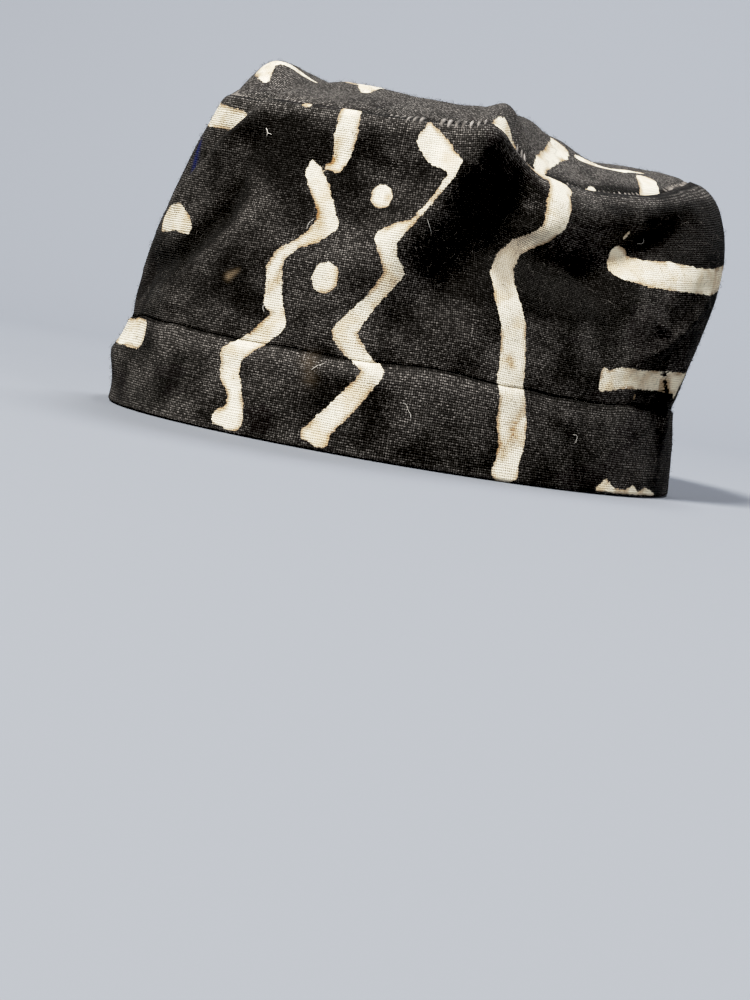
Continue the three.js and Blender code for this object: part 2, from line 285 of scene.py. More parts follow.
# Undyed strokes of the crown: x, y, half
CROWN_MARKS = {
    "arch": (
        (-25, -67.8, 0.9), (-26.8, -65.8, 1.8), (-28.9, -63, 2.4), (-28.9, -60.3, 2.8),
        (-27.3, -57.3, 3.3), (-25.8, -54, 3.7), (-24.5, -50.5, 3.9), (-20, -48, 3.3), (-14, -50, 2.5),
        (-9.5, -54, 1.6), (-6, -58, 1.1), (-2, -59, 0.7),
    ),
    "wedge": ((1.5, -55.5, 4), (4, -62, 2.6), (6.8, -68, 0.9)),
    "dent_bar": (
        (46.6, -65.2, 2), (46.6, -61.4, 2.6), (47.6, -57.8, 2.8), (48.4, -54.2, 2.2), (49.8, -50.8, 1),
    ),
    "fork": (
        (51.8, -47, 1.3), (49.6, -41.2, 1.7), (47.8, -32.7, 1.9), (45.8, -25.4, 2.2), (44.2, -18.9, 2.8),
        (42, -14, 3),
    ),
    "fork_stripe": (
        (46.6, -9.6, 1.4), (48.4, -7, 2.2), (50.2, -2.4, 2.3), (53.7, 4.2, 2.2), (56.5, 14, 1.4),
    ),
    "crown_fleck": ((58.4, -26.8, 0.7), (58.8, -24, 0.9)),
    "blob_crown": ((62.5, 5, 3.2), (69, -4.5, 3.8)),
    "middle_zigzag": (
        (2, -50, 3.2), (-5, -34, 2.4), (5, -20, 3), (-6, -4, 2.2), (6, 12, 3), (-4, 28, 2.4),
        (5, 44, 2.8), (0, 62, 2.6), (2, 80, 2.8),
    ),
    "back_arch": ((-30, 26, 2.4), (-39, 40, 2.8), (-36, 54, 2.4), (-24, 58, 2.2), (-20, 46, 1.6)),
    "left_bar": ((-66, -24, 3.4), (-50, -16, 3.2), (-38, -18, 2.6)),
    "right_bar": ((32, 30, 2.4), (44, 36, 3.2), (62, 38, 3.2)),
    "front_dot": ((-20, -24, 3.4), (-19, -22.8, 3.2)),
    "right_dot": ((22, -2, 3.2), (23.2, -1, 3.3)),
    "back_dot": ((24, 58, 3.3), (23, 57, 3.4)),
    "left_dot": ((-27, 6, 3.3), (-28, 7, 3.2)),
}

# The side's strokes go on plainly round the back: the place across that is moved, then where each
# copy of it goes, with 1, or -1 where the copy is mirrored
BACK_COPIES = {
    "line_c": (80, (204, -1), (-184, 1)),
    "zigzag_a_top": (17, (229, -1), (-147, 1)),
    "zigzag_a": (10, (236, -1), (-154, 1)),
    "zigzag_b": (37, (262, 1), (-112, -1)),
    "dot_upper": (31, (216, 1), (250, 1), (-130, 1)),
    "dot_lower": (20, (226, 1), (247, 1), (-141, 1)),
    "bar_right": (150, (-240, -1)),
    "bar_low_right": (140, (-236, -1)),
}

# Brown stains on the undyed strokes: across, up, how far the stain spreads and its strength
STAINS = {
    "stain_c_high": ((75, 33, 1.5, 0.7), (75.4, 31.4, 1.5, 0.7)),
    "stain_c_low": ((79.2, 15, 2, 0.8), (79.4, 11.5, 2, 0.7)),
    "stain_c_edge": ((81.5, 20, 1.5, 0.5), (76, 6.5, 1.6, 0.5)),
    "stain_a_bend": ((14.8, 63.5, 1.6, 0.7), (15.2, 60.5, 1.4, 0.6)),
    "stain_a_top": ((15, 84, 1.4, 0.45), (14.8, 79, 1.6, 0.6)),
    "stain_a_mid": ((7, 44, 1.3, 0.4), (4.5, 39, 1.5, 0.3)),
    "stain_b_low": ((39, 48, 1.6, 0.3), (36, 46, 1.6, 0.3)),
    "stain_dot": ((32.6, 71, 0.8, 0.6), (32.6, 69.8, 0.8, 0.5)),
}

# Tan smudges on the dark cloth: across, up, spread, strength
SMUDGES = {
    "tan_smudge": ((-9, 41.6, 1, 0.75), (-6.4, 43.6, 0.6, 0.3)),
    "band_smudge": ((20, 22.5, 2.2, 0.16), (21, 18, 1.8, 0.12)),
}

# A strip where the dye shows navy: across, up, spread, strength
NAVY = {
    "navy_strip": ((-53.5, 78, 1.4, 1), (-56, 65, 1.2, 1)),
}

# Painted light, dark cloth made paler where it catches the light, on the side: across, up, spread,
# strength; and all over the crown
PAINTED_LIGHT = {
    "middle_panel": ((20, 62, 12, 0.13), (27, 48, 10, 0.1)),
    "seam_roll": ((10, 22.5, 3.5, 0.16), (72, 22.5, 3.5, 0.16)),
}
CROWN_PAINTED_LIGHT = 0.26

# Painted shade in the hollows, on the dark cloth and, darker still, on the undyed strokes: across, up,
# spread, strength
PAINTED_SHADE = {
    "upper_left": ((-4, 84, 13, 0.3), (2, 70, 10, 0.25)),
    "left_valley": ((-15, 66, 5, 0.35), (-20, 57, 5, 0.4), (-38, 43, 5, 0.4), (-64, 38, 5, 0.4)),
    "dent": ((65, 74, 10.5, 0.62), (60, 56, 10, 0.55)),
    "middle_top": ((27, 84, 9, 0.22), (24, 72, 8, 0.22)),
    "line_c_dent": (
        (86, 75.5, 4.5, 0.5),
        (79.6, 71, 5.5, 0.85),
        (74.8, 66.5, 6, 1),
        (72.5, 60, 6, 1),
        (71.5, 54, 5.5, 0.6),
    ),
    "groove": ((82, 62, 9, 0.85), (100, 59, 8.5, 0.8), (113, 60, 7.5, 0.55)),
    "lobe_top": ((118, 90, 7, 0.2), (150, 88, 8, 0.35)),
    "lobe_end": ((156, 82, 12, 0.6), (190, 76, 12, 0.6)),
}

# A row for each caught lint thread: name, across, up, its length, its heading in degrees and its
# thickness
LINT = (
    ("white_thread", -9.3, 85.2, 3.2, -48, 0.22),
    ("white_tip", -8.4, 84.2, 1.6, -80, 0.16),
    ("left_curl", -38, 57, 3, -50, 0.1),
    ("seam_curl", 21, 20, 4.5, 35, 0.13),
    ("band_curl", 49, 12, 5, 100, 0.12),
    ("band_hair", 30, 15.5, 4, 10, 0.09),
    ("panel_hair", 12, 58, 4, 60, 0.1),
    ("ridge_hair", 46, 62, 4.5, 130, 0.1),
    ("low_hair", 4, 33, 3.5, 70, 0.1),
    ("right_tick", 122.2, 30.4, 1, 60, 0.16),
    ("right_hair", 100, 15, 4, 20, 0.09),
    ("lobe_hair", 128, 78, 4, -20, 0.09),
    ("back_hair", -160, 50, 5, 30, 0.1),
    ("back_curl", -214, 74, 4, 80, 0.12),
    ("far_hair", 232, 60, 5, -30, 0.1),
)

# Colours, as linear red, green, blue and opacity
# Near-black for the weave's pits and for painted shade; thread tops paler from wear and from painted
# highlight
PIT_AND_SHADE_DYE = (0.0010, 0.0009, 0.0008, 1)
DYE = (0.027, 0.0248, 0.0230, 1)
WORN_AND_LIT_TOPS = (0.215, 0.198, 0.183, 1)
TAN = (0.16, 0.115, 0.07, 1)
NAVY_DYE = (0.008, 0.011, 0.055, 1)
CREAM = (0.76, 0.675, 0.51, 1)
PALE_CREAM = (0.85, 0.785, 0.635, 1)
AGED_CREAM = (0.60, 0.47, 0.31, 1)
BROWN = (0.235, 0.130, 0.052, 1)
# Cream in painted shadow
SHADOWED_CREAM = (0.165, 0.146, 0.118, 1)
PIT_BROWN = (0.17, 0.115, 0.06, 1)
INSIDE_DYE = (0.016, 0.0145, 0.0135, 1)
SHEEN_TINT = (0.80, 0.78, 0.75, 1)
STITCH_COLOURS = ((0.17, 0.155, 0.142, 1), (0.04, 0.036, 0.032, 1))
FIBRE_COLOURS = ((0.095, 0.087, 0.079, 1), (0.02, 0.018, 0.016, 1))
LINT_COLOURS = ((0.80, 0.78, 0.73, 1), (0.55, 0.52, 0.47, 1))
BACKDROP = (0.146, 0.158, 0.180, 1)
ROOM = (0.80, 0.88, 1.0, 1)

# What the photograph's camera was, fitted to the rim: its frame and focal length in pixels, where
# the rim's middle falls in the frame, and its place round, away from and above that middle
FRAME_PX = (750, 1000)
FOCAL_PX = 1967.0
RIM_AT_PX = (394.5, 445.5)
CAMERA_AZIMUTH = 27.0
CAMERA_FAR = 600.0
CAMERA_HIGH = 31.0
CAMERA_ROLL = 10.3
SENSOR = 36.0

# Studio lamps: place in metres to the camera's right, away from it and up, size in metres, power in
# watts, and colour; then where they aim, and how far under the rim the floor lies
LIGHTS = (
    ("key", (-1.20, -1.90, 2.50), 0.60, 355.0, (1.0, 0.975, 0.93)),
    ("fill", (1.90, -2.40, 0.70), 1.20, 62.0, (0.97, 0.98, 1.0)),
    ("top", (0.40, 1.10, 1.90), 0.80, 70.0, (0.97, 0.98, 1.0)),
)
LAMPS_AIM = (0.0, 0.0, 0.05)
FLOOR_BELOW = 0.0002
ROOM_STRENGTH = 0.07

# The picture's tone: the levels that show black and white, then how bright each share of white shows
BLACK_LEVEL = 0.007
WHITE_LEVEL = 2.0
TONE = ((0.10, 0.205), (0.25, 0.49), (0.40, 0.66), (0.60, 0.79))
TONE_END = 0.93


def hermite(t, t0, t1, y0, y1, slope0, slope1):
    """A curve between two heights with given slopes."""
    span = t1 - t0
    q = (t - t0) / span
    return (
        (2 * q**3 - 3 * q**2 + 1) * y0
        + (q**3 - 2 * q**2 + q) * span * slope0
        + (3 * q**2 - 2 * q**3) * y1
        + (q**3 - q**2) * span * slope1
    )


def station(name, angle):
    """A column of the stations at any angle, smooth and without overshoot."""
    x, y = (np.array([row[STATION.index(key)] for row in STATIONS], float) for key in ("angle", name))
    x = np.concatenate([[x[-2] - 360], x, [x[1] + 360]])
    y = np.concatenate([[y[-2]], y, [y[1]]])
    rise = np.diff(y) / np.diff(x)
    same = rise[:-1] * rise[1:] > 0
    total = np.where(same, rise[:-1] + rise[1:], 1.0)
    slope = np.zeros_like(y)
    slope[1:-1] = np.where(same, 2 * rise[:-1] * rise[1:] / total, 0.0)
    i = np.clip(np.searchsorted(x, angle) - 1, 1, len(x) - 3)
    return hermite(angle, x[i], x[i + 1], y[i], y[i + 1], slope[i], slope[i + 1])


def oval(angle):
    """The rim's outer oval and its outward normal."""
    a = np.radians(angle)
    normal = np.stack([RIM_HALF_LENGTH * np.sin(a), -RIM_HALF_WIDTH * np.cos(a)], -1)
    normal /= np.linalg.norm(normal, axis=-1, keepdims=True)
    return np.stack([RIM_HALF_WIDTH * np.sin(a), -RIM_HALF_LENGTH * np.cos(a)], -1), normal


# The rim's round, measured in steps of a twentieth of a degree
ARC_ANGLES = np.linspace(-180.0, 180.0, 360 * 20 + 1)
arc_steps = np.diff(oval(ARC_ANGLES)[0], axis=0)
ARC_LENGTHS = np.concatenate([[0.0], np.cumsum(np.hypot(arc_steps[:, 0], arc_steps[:, 1]))])
ROUND = ARC_LENGTHS[-1]
ARC_LENGTHS = ARC_LENGTHS - ROUND / 2


def across_of(angle):
    return np.interp(angle, ARC_ANGLES, ARC_LENGTHS)


def angle_of(across):
    return np.interp(across, ARC_LENGTHS, ARC_ANGLES)


def around(distance):
    """The shortest signed way round the rim."""
    return distance - ROUND * np.round(distance / ROUND)


def stretches(table):
    """The rows at the two ends of each stretch between neighbouring bends."""
    return [pair for rows in table.values() for pair in zip(rows, rows[1:])]


def nearest(a, b, p, q, closed):
    """How far (p, q) is from a stretch, and what the rows' other columns are at its nearest point."""
    dp = p - a[0]
    if closed:
        dp = around(dp)
    dq = q - a[1]
    run, rise = b[0] - a[0], b[1] - a[1]
    share = np.clip((dp * run + dq * rise) / (run * run + rise * rise + 1e-9), 0.0, 1.0)
    columns = [start + (end - start) * share for start, end in zip(a[2:], b[2:])]
    return np.hypot(dp - share * run, dq - share * rise), *columns


def fade(distance, spread):
    """1 where the distance is 0, falling off softly over the spread."""
    return np.exp(-((distance / spread) ** 2))


def ramp(x, low, high):
    """0 below low, 1 above high, smooth between."""
    t = np.clip((x - low) / (high - low), 0.0, 1.0)
    return t * t * (3 - 2 * t)


def edge_roll(share):
    """How far a surface has turned in at a share of its way over a round edge, 0 to nearly 1."""
    return 1 - np.sqrt(1 - ROLL_ROUND * share**2)


def bulge(share, peak):
    """Rises from 0 to 1 at the peak's share of the height and falls back to 0."""
    before = 1.5
    after = before * (1 - peak) / peak
    return share**before * (1 - share) ** after / (peak**before * (1 - peak) ** after)


def folds_at(table, p, q, closed):
    """How far all the folds of a table stand out at the places (p, q)."""
    proud = np.zeros(np.broadcast(p, q).shape)
    sunk = np.zeros(proud.shape)
    for a, b in stretches(table):
        away, wide, out = nearest(a, b, p, q, closed)
        out = out * fade(away, wide)
        proud += np.maximum(out, 0.0) ** FOLD_BLEND
        sunk += np.maximum(-out, 0.0) ** FOLD_BLEND
    return proud ** (1 / FOLD_BLEND) - sunk ** (1 / FOLD_BLEND)


def marks_at(table, p, q, closed):
    """Signed distance in mm to the strokes of a table: positive inside a stroke."""
    best = np.full(np.broadcast(p, q).shape, -50.0)
    for a, b in stretches(table):
        away, half = nearest(a, b, p, q, closed)
        best = np.maximum(best, half - away)
    return best


def spots_at(table, p, q):
    """Strength from 0 to 1 of the side's spots of a table."""
    best = np.zeros(np.broadcast(p, q).shape)
    for a, b in stretches(table):
        away, wide, strength = nearest(a, b, p, q, True)
        best = np.maximum(best, strength * fade(away, wide))
    return best


def with_back(strokes):
    """The side's strokes and their copies round the back."""
    copies = {}
    for name, (start, *goals) in BACK_COPIES.items():
        for goal, way in goals:
            moved = tuple((goal + way * (across - start), up, half) for across, up, half in strokes[name])
            copies[f"{name}_at_{goal}"] = moved
    return {**strokes, **copies}


def waves(name, p, q, closed=True):
    """One of the cloth's small unevennesses in mm: smooth noise over the places (p, q)."""
    size, high, seed = WAVES[name]
    table = np.random.default_rng(SEED + seed).uniform(-1, 1, (NOISE_CELLS, NOISE_CELLS))
    if closed:
        count = max(4, int(round(ROUND / size)))
        x = (p / ROUND + 0.5) * count
    else:
        count = NOISE_CELLS
        x = p / size + NOISE_CELLS // 2
    y = q / size + NOISE_CELLS // 2
    i, j = np.floor(x).astype(int), np.floor(y).astype(int)
    fx, fy = x - i, y - j
    fx, fy = fx * fx * (3 - 2 * fx), fy * fy * (3 - 2 * fy)
    i0, i1, j0, j1 = i % count, (i + 1) % count, j % NOISE_CELLS, (j + 1) % NOISE_CELLS
    near = table[i0, j0] * (1 - fx) + table[i1, j0] * fx
    far = table[i0, j1] * (1 - fx) + table[i1, j1] * fx
    return high * (near * (1 - fy) + far * fy)


def seam_wander(across):
    """How far the band's seam strays from level."""
    level = np.zeros_like(across)
    return waves("seam", across, level) + waves("seam_stitches", across, level)


def small_waves(across, up):
    """The cloth's small unevenness, stronger beside its seams, and the tuck above the band."""
    beside_seams = fade(up - BAND_TALL, 7.0) + fade(up - CLOTH_TALL, 8.0)
    uneven = waves("panel", across, up) * ramp(up, 2.0, 14.0)
    uneven = uneven + waves("puckers", across, up * PUCKERS_UPRIGHT) * beside_seams * ramp(up, 4.0, 14.0)
    uneven = uneven + waves("crinkle", across, up) * ramp(up, 2.0, 8.0)
    above = (up >= BAND_TALL) * TUCK_DEEP * (1 - ramp(up, BAND_TALL, BAND_TALL + TUCK_TALL))
    share = np.clip((up - BAND_TALL + HEM_ROLL_TALL) / HEM_ROLL_TALL, 0.0, 1.0)
    below = (up < BAND_TALL) * HEM_ROLL * edge_roll(share)
    return uneven - above - below


def side(angle, up, inner):
    """Points of band or wall; inner is 0 outside and 1 inside."""
    angle, up = np.broadcast_arrays(np.asarray(angle, float), np.asarray(up, float))
    rim, normal = oval(angle)
    across = across_of(angle)
    share = np.clip((up - BAND_TALL) / (CLOTH_TALL - BAND_TALL), 0.0, 1.0)
    lean = (station("seam_in", angle) - BAND_TAPER) * (LEAN_EVEN * share + (1 - LEAN_EVEN) * share**3)
    swell = station("swell", angle) * bulge(share, station("swell_at", angle))
    folds = folds_at(FOLDS, across, up, True) * np.clip(up / FOLDS_FULL, 0.0, 1.0) ** 2
    roll = np.clip((up - CLOTH_TALL + SEAM_ROLL_TALL) / SEAM_ROLL_TALL, 0.0, 1.0)
    out = folds + swell - lean - BAND_TAPER * np.clip(up / BAND_TALL, 0.0, 1.0) - inner * CLOTH
    if not inner:
        out = out - SEAM_ROLL_IN * edge_roll(roll)
        out = out + small_waves(across, up)
    high = np.where(up < BAND_TALL, up, BAND_TALL + (station("seam_high", angle) - BAND_TALL) * share)
    high = high + seam_wander(across) * fade(up - BAND_TALL, 6.0)
    high = high - inner * INSIDE_LOWER * roll**2
    return np.stack([rim[..., 0] + normal[..., 0] * out, rim[..., 1] + normal[..., 1] * out, high], -1)


def sunk_groove(angle):
    """Where the crown's edge lies deepest behind the wall: 1 on the wearer's left, 0 elsewhere."""
    return fade(across_of(angle) - GROOVE_AT, GROOVE_WIDE)


def crown_profile(angle, ring, seam_z):
    """The crown's smooth height along each way out from its middle, before its folds."""
    shoulder, mid = station("shoulder_high", angle), station("mid_high", angle)
    mid_slope = (shoulder - CROWN_HIGH) / SHOULDER_RING
    shoulder_slope = (seam_z - mid) / (1 - MID_RING)
    edge_slope = EDGE_STEEP * (seam_z - shoulder) / (1 - SHOULDER_RING)
    middle = hermite(ring, 0.0, MID_RING, CROWN_HIGH, mid, 0.0, mid_slope)
    between = hermite(ring, MID_RING, SHOULDER_RING, mid, shoulder, mid_slope, shoulder_slope)
    outer = hermite(ring, SHOULDER_RING, 1.0, shoulder, seam_z, shoulder_slope, edge_slope)
    return np.where(ring > SHOULDER_RING, outer, np.where(ring > MID_RING, between, middle))


def crown(angle, ring, inner):
    """Points of the crown panel; ring is 1 at the seam and 0 in the middle."""
    angle, ring = np.broadcast_arrays(np.asarray(angle, float), np.asarray(ring, float))
    seam = side(angle, np.full(angle.shape, CLOTH_TALL), 0)
    reach = np.hypot(seam[..., 0], seam[..., 1])
    plan = ring * (reach - CROWN_GAP) / reach * (1 - UNDERSIDE_IN * inner * ring)
    x, y = seam[..., 0] * plan, seam[..., 1] * plan
    z = crown_profile(angle, ring, seam[..., 2]) + folds_at(CROWN_FOLDS, x, y, False) * (1 - ring**6)
    if not inner:
        inwards = (1 - ring) * reach
        uneven = waves("crown", x, y, False) + waves("crown_crinkle", x, y, False)
        roll = 1 - np.clip(inwards / CROWN_ROLL_WIDE, 0.0, 1.0)
        deep = CROWN_ROLL_DEEP * (1 + sunk_groove(angle))
        z = z + uneven * ramp(inwards, 0.0, 10.0) - deep * edge_roll(roll)
    return np.stack([x, y, z - inner * CLOTH], -1)


def crown_height(x, y):
    """Height of the crown's top over any place in plan."""
    turn = np.linspace(-180.0, 180.0, 360 * 4 + 1)
    seam = side(turn, np.full(turn.shape, CLOTH_TALL), 0)
    heading = np.unwrap(np.arctan2(seam[:, 0], -seam[:, 1]))
    reach = np.hypot(seam[:, 0], seam[:, 1])
    here = np.arctan2(x, -y)
    angle = np.interp(here, heading, turn)
    ring = np.clip(np.hypot(x, y) / np.interp(here, heading, reach), 0.0, 1.0)
    return crown(angle, ring, 0)[..., 2]


def flat_cloth(x, y):
    """Where crown points lie once the cloth is laid flat, so that its weave keeps its size on slopes."""
    ticks = np.arange(-FLAT_REACH, FLAT_REACH + 1.0)
    grid = np.stack(np.meshgrid(ticks, ticks, indexing="ij"))
    high = crown_height(*grid)
    i = np.clip(np.floor(x + FLAT_REACH).astype(int), 0, len(ticks) - 2)
    j = np.clip(np.floor(y + FLAT_REACH).astype(int), 0, len(ticks) - 2)
    fx, fy = x + FLAT_REACH - i, y + FLAT_REACH - j
    flat = []
    for axis in (0, 1):
        rise = np.clip(np.gradient(high, axis=axis), -STEEPEST, STEEPEST)
        run = np.cumsum(np.sqrt(1 + rise**2), axis=axis)
        run = run - np.take(run, [len(ticks) // 2], axis=axis)
        low = run[i, j] * (1 - fx) + run[i + 1, j] * fx
        top = run[i, j + 1] * (1 - fx) + run[i + 1, j + 1] * fx
        flat.append(low * (1 - fy) + top * fy)
    return np.stack(flat, -1)


def seam_wear_and_shade(up):
    """Paler cloth on the rolls beside the seams and at the hem, partly wear and partly painted highlight;
    painted shade down in the seams.
    """
    top, band = up - CLOTH_TALL, up - BAND_TALL
    pale = 0.30 * fade(top + 2.0, 1.8) + 0.16 * fade(band + 3.2, 2.2) + 0.12 * fade(up, 1.5)
    band_dark = np.where(up > BAND_TALL, 0.18 * fade(band, 1.0), 0.45 * fade(band, 0.6))
    return pale - 0.5 * fade(top, 0.5) - band_dark


def crown_light_and_shade(inwards, sunk):
    """Painted light, paler cloth all over the crown, and painted shade down in its seam, most where the
    seam is sunk.
    """
    return CROWN_PAINTED_LIGHT - (0.45 + 0.5 * sunk) * fade(inwards, 1.2 + 1.6 * sunk)


def new_piece(name, points, faces, material):
    """A smooth object from points in mm."""
    mesh = bpy.data.meshes.new(name)
    mesh.from_pydata((points + np.array([SIDE_SHIFT, 0.0, 0.0])) * MM, [], faces)
    mesh.polygons.foreach_set("use_smooth", np.ones(len(mesh.polygons), bool))
    mesh.materials.append(material)
    piece = bpy.data.objects.new(name, mesh)
    bpy.context.scene.collection.objects.link(piece)
    return piece


def cloth_piece(name, points, faces, face_maps, point_maps, material):
    """A piece of the painted cloth, with a UV map in cloth mm and a float attribute per point map."""
    piece = new_piece(name, points, faces, material)
    uv = piece.data.uv_layers.new(name="cloth")
    uv.data.foreach_set("uv", np.concatenate(face_maps).astype(np.float32).ravel())
    for key, values in point_maps.items():
        attribute = piece.data.attributes.new(key, "FLOAT", "POINT")
        attribute.data.foreach_set("value", values.astype(np.float32))
    return piece


def ring_faces(loops, count, closed):
    """Quads that join loops of points; each loop runs anticlockwise seen from above."""
    quads = []
    for row in range(loops if closed else loops - 1):
        low, high = row * count, (row + 1) % loops * count
        for i in range(count):
            j = (i + 1) % count
            quads.append((low + i, low + j, high + j, high + i))
    return quads


def rim_fold(angles):
    """Loops that turn the cloth round the rim from the inside to the outside, and their heights."""
    rim, normal = oval(angles)
    loops, highs = [], []
    for turn in np.linspace(150.0, 30.0, 5):
        a = math.radians(turn)
        high = CLOTH / 2 * (1 - math.sin(a))
        loops.append(np.column_stack([rim - normal * CLOTH / 2 * (1 - math.cos(a)), np.full(AROUND, high)]))
        highs.append(high)
    return loops, highs


def tube_piece(name, outer_ups, inner_ups, with_rim, material):
    """Band or wall: up the outside, over the top, down the inside, and round the rim where asked."""
    edges = np.linspace(-ROUND / 2, ROUND / 2, AROUND + 1)
    angles = angle_of(edges[:-1])
    loops = [side(angles, up, 0) for up in outer_ups] + [side(angles, up, 1) for up in inner_ups]
    ups = [*outer_ups, *inner_ups]
    inside = [0] * len(outer_ups) + [1] * len(inner_ups)
    if with_rim:
        fold, highs = rim_fold(angles)
        loops += fold
        ups += [high - CLOTH / 2 for high in highs]
        inside += [0] * len(fold)
    quads = ring_faces(len(loops), AROUND, True)
    face_maps = [
        [(start, low), (end, low), (end, high), (start, high)]
        for low, high in zip(ups, ups[1:] + ups[:1])
        for start, end in zip(edges, edges[1:])
    ]
    p, q = np.tile(edges[:-1], len(loops)), np.repeat(ups, AROUND)
    undyed = marks_at(with_back(SIDE_MARKS), p, q, True)
    point_maps = {
        # strokes are painted over with dark cloth along the crease lines, as painted shade
        "undyed": np.minimum(undyed, -marks_at(CREASE_SHADE_LINES, p, q, True)),
        "stain": spots_at(STAINS, p, q),
        "smudge": spots_at(SMUDGES, p, q),
        "navy": spots_at(NAVY, p, q),
        # painted light and painted shade on the dark cloth, with the seams' wear, all read by the material
        # as its shade
        "shade": spots_at(PAINTED_LIGHT, p, q) - spots_at(PAINTED_SHADE, p, q) + seam_wear_and_shade(q),
        "inside": np.repeat(inside, AROUND),
    }
    return cloth_piece(name, np.concatenate(loops), quads, face_maps, point_maps, material)


def crown_piece(name, material):
    """Crown panel: the underside from its middle out to the edge, then the top back to the middle."""
    angles = angle_of(np.linspace(-ROUND / 2, ROUND / 2, AROUND, endpoint=False))
    top_rings = 1 - np.linspace(0.0, 1.0, CROWN_RINGS, endpoint=False) ** EDGE_CROWDED
    under_rings = np.linspace(0.04, 1.0, INNER_ROWS)
    loops = [crown(angles, ring, 1) for ring in under_rings]
    loops += [crown(angles, ring, 0) for ring in top_rings]
    inside = [1] * len(under_rings) + [0] * len(top_rings)
    middles = [crown(np.zeros(1), 0.0, inner) for inner in (1, 0)]
    points = np.concatenate(loops + middles)
    faces = ring_faces(len(loops), AROUND, False)
    under_middle, top_middle = len(loops) * AROUND, len(loops) * AROUND + 1
    last = (len(loops) - 1) * AROUND
    for i in range(AROUND):
        j = (i + 1) % AROUND
        faces.append((under_middle, j, i))
        faces.append((top_middle, last + i, last + j))
    flat = flat_cloth(points[:, 0], points[:, 1])
    face_maps = [flat[list(face)] for face in faces]
    edge = loops[-CROWN_RINGS]
    reach = np.hypot(edge[:, 0], edge[:, 1])
    inwards = np.outer(1 - np.concatenate([under_rings, top_rings]), reach).ravel()
    inwards = np.append(inwards, [FAR_IN, FAR_IN])
    sunk = np.append(np.tile(sunk_groove(angles), len(loops)), [0.0, 0.0])
    point_maps = {
        "undyed": marks_at(CROWN_MARKS, points[:, 0], points[:, 1], False),
        "shade": crown_light_and_shade(inwards, sunk),
        "inside": np.append(np.repeat(inside, AROUND), [1, 0]),
    }
    return cloth_piece(name, points, faces, face_maps, point_maps, material)


def unit(v):
    return v / np.maximum(np.linalg.norm(v, axis=-1, keepdims=True), 1e-9)


def side_place(across, up, proud):
    """Points proud of the outside of band or wall, and its normals there."""
    here = side(angle_of(across), up, 0)
    along = side(angle_of(across + SLOPE_STEP), up, 0) - here
    upwards = side(angle_of(across), up + SLOPE_STEP, 0) - here
    normal = unit(np.cross(along, upwards))
    return here + normal * np.asarray(proud)[..., None], normal


def crown_place(x, y, proud):
    """Points proud of the crown's top, and its normals there."""
    high = crown_height(x, y)
    fall_x = high - crown_height(x + SLOPE_STEP, y)
    fall_y = high - crown_height(x, y + SLOPE_STEP)
    normal = unit(np.stack([fall_x, fall_y, SLOPE_STEP + 0 * x], -1))
    return np.stack([x, y, high], -1) + normal * np.asarray(proud)[..., None], normal


def threads_piece(name, paths, normals, radii, sides, material):
    """One mesh of closed thin tubes, from points, normals and radii for every thread."""
    steps = radii.shape[1]
    ahead = unit(np.gradient(paths, axis=1))
    aside = unit(np.cross(ahead, normals))
    upright = np.cross(aside, ahead)
    turn = np.arange(sides) * 2 * math.pi / sides
    circle = aside[:, :, None] * np.cos(turn)[:, None] + upright[:, :, None] * np.sin(turn)[:, None]
    points = (paths[:, :, None] + circle * radii[:, :, None, None]).reshape(-1, 3)
    tube = ring_faces(steps, sides, False)
    tube += [tuple(reversed(range(sides))), tuple(range((steps - 1) * sides, steps * sides))]
    starts = range(0, len(points), steps * sides)
    faces = [tuple(start + corner for corner in face) for start in starts for face in tube]
    return new_piece(name, points, faces, material)


def stitches_piece(name, material):
    """Slanted whip stitches over the groove between wall and crown."""
    rng = np.random.default_rng(SEED + 20)
    count = int(ROUND / STITCH_STEP)
    across = (np.arange(count) + rng.uniform(-0.12, 0.12, count)) * ROUND / count - ROUND / 2
    bold = fade(across - BOLD_AT, BOLD_WIDE)
    lift = STITCH_THICK * (BOLD_LIFT * bold - PLAIN_SUNK + rng.uniform(-0.06, 0.06, count))
    share = np.linspace(0.0, 1.0, 7)
    bow = np.sin(math.pi * share)
    low = side(angle_of(across), CLOTH_TALL - STITCH_BELOW, 0)
    slanted = angle_of(across + STITCH_SLANT + rng.uniform(-0.2, 0.2, count))
    edge = side(slanted, CLOTH_TALL, 0)
    inwards = 1 - (STITCH_IN + rng.uniform(-0.2, 0.2, count)) / np.hypot(edge[:, 0], edge[:, 1])
    high = crown(slanted, inwards, 0)
    paths = low[:, None] + (high - low)[:, None] * share[:, None]
    out = unit(np.cross(high - low, np.cross(np.array([0.0, 0.0, 1.0]), high - low)))
    paths = paths + out[:, None] * (bow * lift[:, None] - ENDS_SUNK * (1 - bow))[..., None]
    normals = np.broadcast_to(out[:, None], paths.shape)
    radii = STITCH_THICK / 2 * (0.55 + 0.45 * bow) * (0.55 + 0.5 * bold[:, None])
    dyed = marks_at(with_back(SIDE_MARKS), across, CLOTH_TALL + 0 * across, True) < -1.0
    dyed &= marks_at(CROWN_MARKS, high[:, 0], high[:, 1], False) < -1.0
    return threads_piece(name, paths[dyed], normals[dyed], radii[dyed], 8, material)


def fibre_tracks(rng, count):
    """Curling tracks that start at 0,0: two places across the cloth and a height for each step."""
    start = rng.uniform(0, 2 * math.pi, (count, 1))
    heading = start + np.cumsum(rng.normal(0, 0.45, (count, FIBRE_STEPS)), axis=1)
    stride = rng.uniform(*FIBRE_LONG, (count, 1)) / FIBRE_STEPS
    a = np.cumsum(np.cos(heading), axis=1) * stride
    b = np.cumsum(np.sin(heading), axis=1) * stride
    share = np.linspace(0.0, 1.0, FIBRE_STEPS)
    loose = rng.uniform(0, 1, (count, 1)) < 0.4
    high = np.where(loose, share**1.5, np.sin(math.pi * share)) * rng.uniform(0.15, 0.95, (count, 1))
    return a, b, high


